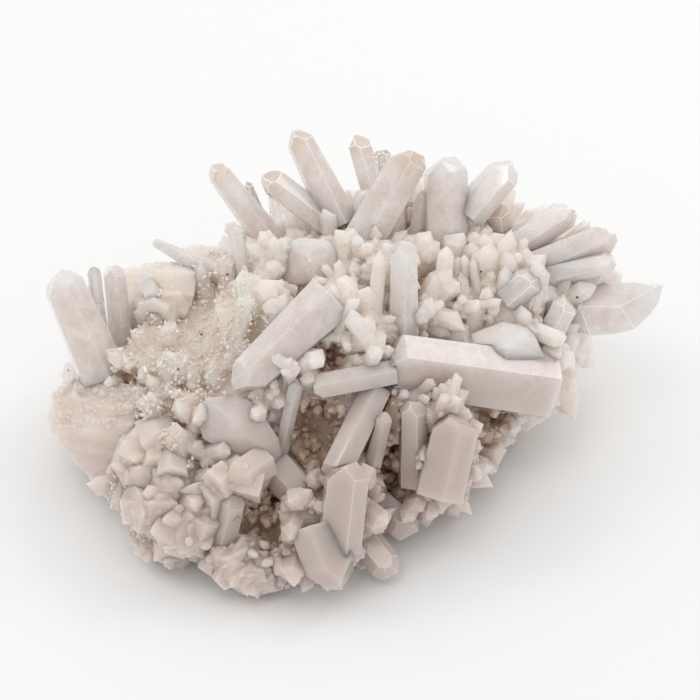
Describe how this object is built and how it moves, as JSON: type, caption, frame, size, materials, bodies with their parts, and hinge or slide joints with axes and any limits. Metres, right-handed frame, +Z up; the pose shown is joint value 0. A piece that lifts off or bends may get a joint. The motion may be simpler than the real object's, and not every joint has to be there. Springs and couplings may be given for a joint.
{
  "type": "quartz crystal cluster",
  "caption": "Natural quartz cluster: milky hexagonal prisms with pointed ends spread from a lump of massive quartz that rests on a flat broken base.",
  "frame": {"origin": "middle of the flat broken base that the cluster rests on", "axes": "+Z up, +X along the cluster's length towards the long blade crystal, -Y towards the display side"},
  "size_m": [0.186, 0.1435, 0.0903],
  "materials": {
    "massive_quartz": "matt to sugary, stained brown in the recesses",
    "milky_quartz": "glossy flat faces, milky inside",
    "clear_quartz": "glossy flat faces, nearly clear inside"
  },
  "bodies": {
    "root": {"back_left_low_prism": "milky_quartz", "back_left_prism": "milky_quartz", "back_low_prism": "milky_quartz", "back_low_right_prism": "milky_quartz", "back_middle_prism": "milky_quartz", "back_right_crystal": "clear_quartz", "back_right_prism": "clear_quartz", "back_short_prism": "milky_quartz", "back_tall_prism": "clear_quartz", "bottom_left_block": "milky_quartz", "bottom_left_crystal": "milky_quartz", "bridge_prism": "clear_quartz", "cavity_slat_left": "clear_quartz", "foot_crystal": "milky_quartz", "foot_side_crystal": "milky_quartz", "front_diagonal_prism": "clear_quartz", "front_down_prism": "clear_quartz", "front_great_prism": "milky_quartz", "front_left_crystal": "milky_quartz", "left_blade_crystal": "clear_quartz", "left_block_crystal": "milky_quartz", "left_bottom_stub": "milky_quartz", "left_edge_crystal": "milky_quartz", "left_stub_crystal": "milky_quartz", "left_twin_small": "clear_quartz", "left_twin_tall": "milky_quartz", "left_wedge": "milky_quartz", "lens_crystal": "milky_quartz", "lower_left_block": "milky_quartz", "lower_left_stub": "milky_quartz", "lower_left_upright": "milky_quartz", "lower_right_stub": "milky_quartz", "lower_upright_prism": "milky_quartz", "matrix": "massive_quartz", "middle_upright_prism": "milky_quartz", "pinkish_end_crystal": "milky_quartz", "right_blade": "milky_quartz", "right_end_crystal": "milky_quartz", "right_fan_lower": "milky_quartz", "right_fan_middle": "milky_quartz", "right_fan_upper": "milky_quartz", "right_front_prism": "milky_quartz", "right_lower_splinter": "clear_quartz", "right_lower_upright": "milky_quartz", "right_slope_crystal": "milky_quartz", "right_upper_stub": "milky_quartz", "shard_fan_crystal": "milky_quartz", "slanting_prism": "milky_quartz", "slot_crystal": "milky_quartz", "top_chisel_prism": "milky_quartz", "top_left_prism": "clear_quartz", "top_left_side_crystal": "clear_quartz", "top_left_splinter": "clear_quartz", "top_peak_prism": "clear_quartz", "top_small_crystal": "clear_quartz", "upper_broad_crystal": "milky_quartz", "upper_left_prism": "milky_quartz", "upper_right_prism": "milky_quartz"}
  },
  "joints": []
}
